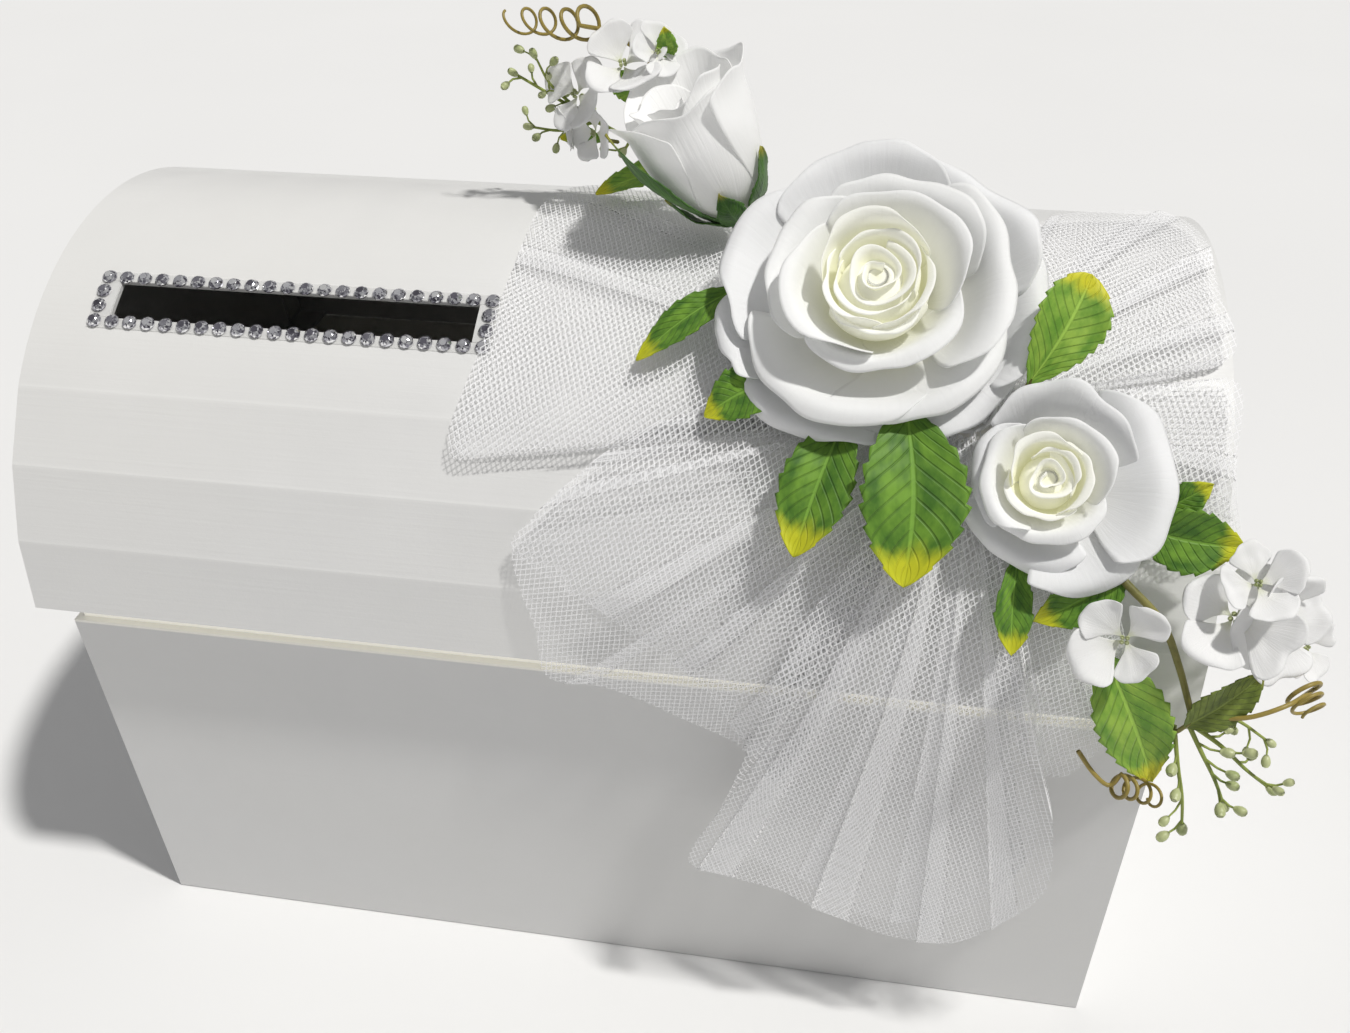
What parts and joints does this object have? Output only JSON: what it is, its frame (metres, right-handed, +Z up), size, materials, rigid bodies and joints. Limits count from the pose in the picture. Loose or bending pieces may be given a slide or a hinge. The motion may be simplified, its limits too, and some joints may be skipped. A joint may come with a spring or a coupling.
{
  "type": "wedding card box",
  "caption": "Barrel-lidded card box with a rhinestone-framed card slot, a rear tape hinge, and a tulle bow with cloth roses and leaves on the lid.",
  "frame": {"origin": "on the underside, midway between the ends and below the lid's centre line", "axes": "+X along the box from the slot end to the bow end, +Y to the hinged rear, +Z up"},
  "size_m": [0.4018, 0.2402, 0.3272],
  "materials": {
    "base_card": "satin embossed card",
    "blossom_white": "soft cloth",
    "calyx_green": "dyed cloth",
    "clear_strip": "clear film",
    "glue": "hot glue",
    "leaf_green": "printed cloth leaf",
    "lid_card": "satin embossed card",
    "neck_card": "matt card",
    "paper_tape": "matt paper",
    "petal_white": "soft cloth petals",
    "rhinestone": "faceted crystal with silver foil back",
    "silver_wire": "bright wire",
    "stem_olive": "wrapped wire",
    "tendril_olive": "waxed wire",
    "tulle": "fine white net"
  },
  "bodies": {
    "box_base": {"base_bottom_panel": "base_card", "base_end_panel_left": "base_card", "base_end_panel_right": "base_card", "base_front_panel": "base_card", "base_rear_panel": "base_card", "corner_stay_strips": "paper_tape", "hinge_tape_base_leaf": "paper_tape", "neck_liner_front": "neck_card", "neck_liner_left": "neck_card", "neck_liner_right": "neck_card"},
    "lid": {"berry_sprig_right": "stem_olive", "blossoms_left": "blossom_white", "blossoms_right": "blossom_white", "bow_glue_pad": "glue", "bow_knot": "tulle", "bow_tie_wire": "silver_wire", "gem_backing_strips": "clear_strip", "gem_column_left": "rhinestone", "gem_column_right": "rhinestone", "gem_row_lower": "rhinestone", "gem_row_upper": "rhinestone", "hinge_tape_lid_leaf": "paper_tape", "leaf_low_right": "leaf_green", "leaf_olive_right": "leaf_green", "leaf_top_right": "leaf_green", "leaves_centre": "leaf_green", "leaves_left": "leaf_green", "leaves_right": "leaf_green", "leaves_upper_left": "leaf_green", "lid_cover": "lid_card", "lid_end_board_left": "lid_card", "lid_end_board_right": "lid_card", "lid_glue_tabs_left": "paper_tape", "lid_glue_tabs_right": "paper_tape", "lid_rim_front": "lid_card", "lid_rim_left": "lid_card", "lid_rim_right": "lid_card", "rose_large_calyx": "calyx_green", "rose_large_core": "petal_white", "rose_large_inner_petals": "petal_white", "rose_large_middle_petals": "petal_white", "rose_large_outer_petals": "petal_white", "rose_small_calyx": "calyx_green", "rose_small_core": "petal_white", "rose_small_inner_petals": "petal_white", "rose_small_outer_petals": "petal_white", "rosebud_petals": "petal_white", "rosebud_sepals": "calyx_green", "stem_wire_right": "stem_olive", "tendril_left": "tendril_olive", "tendril_low": "tendril_olive", "tendril_right": "tendril_olive", "tulle_loop_left": "tulle", "tulle_loop_right": "tulle", "tulle_tails": "tulle", "tulle_wing_left": "tulle", "tulle_wing_right_lower": "tulle", "tulle_wing_right_upper": "tulle", "twig_buds_left": "stem_olive"}
  },
  "joints": [
    {"name": "lid_hinge", "type": "hinge", "parent": "box_base", "child": "lid", "pos_m": [0, 0.10935, 0.15815], "axis": [-1, 0, 0], "range_deg": [0, 110]}
  ]
}
